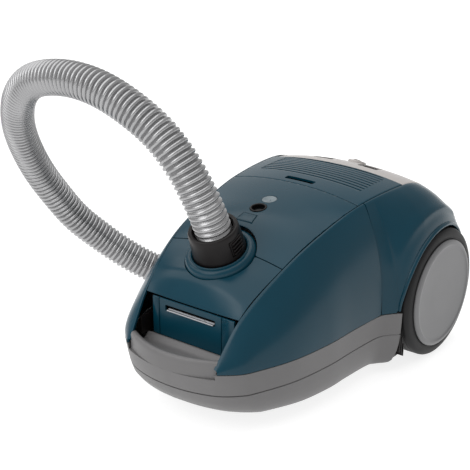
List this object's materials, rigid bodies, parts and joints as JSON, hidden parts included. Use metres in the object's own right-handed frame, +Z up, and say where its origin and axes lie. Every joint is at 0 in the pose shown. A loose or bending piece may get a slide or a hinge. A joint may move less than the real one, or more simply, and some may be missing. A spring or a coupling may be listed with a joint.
{
  "type": "canister vacuum cleaner",
  "caption": "Compact bagged canister vacuum cleaner with rear wheels, a swivelling front caster, opening lids, and a corrugated suction hose ending in a handle grip.",
  "frame": {"origin": "on the floor, below the middle of the machine's own box, hose and handle left out", "axes": "+Z up; the front with the hose port points along -Y; +X is the machine's right-hand side seen from behind; the wheels turn about X"},
  "size_m": [0.535, 0.7636, 0.3504],
  "materials": {
    "petrol_gloss": "glossy injection-moulded plastic, dark petrol blue",
    "grey_mould": "fine-textured mid-grey moulded plastic",
    "black_mould": "satin black-brown moulded plastic",
    "pale_cover": "satin warm light-grey plastic",
    "silver_paint": "silver-lacquered plastic",
    "hose_silver": "metallic silver corrugated hose film",
    "tyre_rubber": "soft dark tread ring",
    "dark_rubber": "seal rubber",
    "steel": "machined steel",
    "bag_paper": "non-woven dust-bag fleece",
    "bag_card": "pressed card collar",
    "filter_fleece": "pleated filter fleece",
    "foam": "open-cell filter foam",
    "board_green": "circuit board",
    "flag_orange": "indicator orange plastic"
  },
  "bodies": {
    "root": {"base_pan": "grey_mould", "front_grip": "grey_mould", "front_fascia": "petrol_gloss", "fascia_surround": "black_mould", "side_panel_left": "petrol_gloss", "side_panel_right": "petrol_gloss", "rear_fender_left": "petrol_gloss", "rear_fender_right": "petrol_gloss", "wheel_well_left": "black_mould", "wheel_well_right": "black_mould", "port_ring": "petrol_gloss", "port_tube": "black_mould", "hose": "hose_silver", "hose_end_cuff": "black_mould", "grip_handle": "black_mould", "accessory_tray": "grey_mould", "crevice_nozzle": "black_mould", "upholstery_nozzle": "black_mould", "exhaust_filter": "filter_fleece", "rear_cover": "pale_cover", "cable_outlet": "black_mould", "bag_holder": "grey_mould", "dust_bag": "bag_paper", "bag_collar": "bag_card", "bulkhead": "grey_mould", "motor_filter": "foam", "motor_gasket": "dark_rubber", "motor_housing": "grey_mould", "motor_stator": "steel", "motor_bearings": "steel", "reel_bracket": "grey_mould", "control_board": "board_green", "power_switch": "black_mould", "stub_axles": "steel", "caster_socket": "black_mould", "case_screws": "steel"},
    "front_lid": {"front_lid": "petrol_gloss"},
    "lid_latch": {"lid_latch": "silver_paint"},
    "accessory_lid": {"accessory_lid": "petrol_gloss", "window_bezel": "black_mould"},
    "push_button": {"push_button": "petrol_gloss"},
    "bag_full_flag": {"bag_full_flag": "flag_orange"},
    "grille_cover": {"grille_cover": "petrol_gloss"},
    "power_pedal": {"power_pedal": "black_mould"},
    "rewind_pedal": {"rewind_pedal": "black_mould"},
    "brake_lever": {"brake_lever": "grey_mould"},
    "power_knob": {"power_knob": "silver_paint"},
    "wheel_left": {"wheel_hub_left": "grey_mould", "tyre_left": "tyre_rubber"},
    "wheel_right": {"wheel_hub_right": "grey_mould", "tyre_right": "tyre_rubber"},
    "caster_fork": {"caster_fork": "grey_mould"},
    "caster_wheel": {"caster_wheel": "black_mould"},
    "cord_drum": {"cord_drum": "black_mould"},
    "motor_rotor": {"motor_rotor": "steel"},
    "hose_cuff": {"hose_cuff": "black_mould"},
    "cuff_button_left": {"cuff_button_left": "black_mould"},
    "cuff_button_right": {"cuff_button_right": "black_mould"},
    "air_slider": {"air_slider": "grey_mould"}
  },
  "joints": [
    {"name": "front_lid_hinge", "type": "hinge", "parent": "root", "child": "front_lid", "pos_m": [0, -0.1004, 0.17], "axis": [-1, 0, 0], "range_deg": [0, 50]},
    {"name": "lid_latch_press", "type": "slide", "parent": "root", "child": "lid_latch", "axis": [0, 1, 0], "range_m": [0, 0.003], "stiffness_N_per_m": 400},
    {"name": "accessory_lid_hinge", "type": "hinge", "parent": "root", "child": "accessory_lid", "pos_m": [0, 0.0216, 0.208], "axis": [-1, 0, 0], "range_deg": [0, 70]},
    {"name": "push_button_press", "type": "slide", "parent": "accessory_lid", "child": "push_button", "axis": [0, 0, -1], "range_m": [0, 0.0025], "stiffness_N_per_m": 400},
    {"name": "bag_full_flag_rise", "type": "slide", "parent": "accessory_lid", "child": "bag_full_flag", "axis": [0, 0, 1], "range_m": [0, 0.0026]},
    {"name": "grille_cover_hinge", "type": "hinge", "parent": "root", "child": "grille_cover", "pos_m": [0, 0.1066, 0.21], "axis": [-1, 0, 0], "range_deg": [0, 60]},
    {"name": "power_pedal_press", "type": "slide", "parent": "root", "child": "power_pedal", "axis": [0.0872, -0.241, -0.9666], "range_m": [0, 0.004], "stiffness_N_per_m": 800},
    {"name": "rewind_pedal_press", "type": "slide", "parent": "root", "child": "rewind_pedal", "axis": [-0.0872, -0.241, -0.9666], "range_m": [0, 0.004], "stiffness_N_per_m": 800},
    {"name": "brake_lever_pivot", "type": "hinge", "parent": "root", "child": "brake_lever", "pos_m": [0.034, 0.104, 0.169], "axis": [-1, 0, 0], "range_deg": [-0.5, 8.2]},
    {"name": "power_knob_turn", "type": "hinge", "parent": "root", "child": "power_knob", "pos_m": [0, 0.151, 0.198], "axis": [0, 0.4067, 0.9135], "range_deg": [-135, 135]},
    {"name": "wheel_left_spin", "type": "hinge", "parent": "root", "child": "wheel_left", "pos_m": [-0.125, 0.127, 0.075], "axis": [1, 0, 0], "continuous": true},
    {"name": "wheel_right_spin", "type": "hinge", "parent": "root", "child": "wheel_right", "pos_m": [0.125, 0.127, 0.075], "axis": [1, 0, 0], "continuous": true},
    {"name": "caster_swivel", "type": "hinge", "parent": "root", "child": "caster_fork", "pos_m": [0, -0.106, 0.045], "axis": [0, 0, 1], "continuous": true},
    {"name": "caster_roll", "type": "hinge", "parent": "caster_fork", "child": "caster_wheel", "pos_m": [0, -0.098, 0.017], "axis": [1, 0, 0], "continuous": true},
    {"name": "cord_drum_spin", "type": "hinge", "parent": "root", "child": "cord_drum", "pos_m": [0.057, 0.118, 0.102], "axis": [1, 0, 0], "continuous": true},
    {"name": "motor_spin", "type": "hinge", "parent": "root", "child": "motor_rotor", "pos_m": [-0.03, 0.08, 0.095], "axis": [0, 1, 0], "continuous": true},
    {"name": "hose_swivel", "type": "hinge", "parent": "root", "child": "hose_cuff", "pos_m": [0, -0.11, 0.168], "axis": [0, -0.3746, 0.9272], "continuous": true},
    {"name": "cuff_button_left_press", "type": "slide", "parent": "hose_cuff", "child": "cuff_button_left", "axis": [1, 0, 0], "range_m": [0, 0.0018], "stiffness_N_per_m": 600},
    {"name": "cuff_button_right_press", "type": "slide", "parent": "hose_cuff", "child": "cuff_button_right", "axis": [-1, 0, 0], "range_m": [0, 0.0018], "stiffness_N_per_m": 600},
    {"name": "air_slider_slide", "type": "slide", "parent": "root", "child": "air_slider", "axis": [-0.995, 0.0995, 0], "range_m": [-0.004, 0.012]}
  ],
  "couplings": [
    {"joint": "brake_lever_pivot", "follows": "rewind_pedal_press", "rad_per_m": 35}
  ]
}
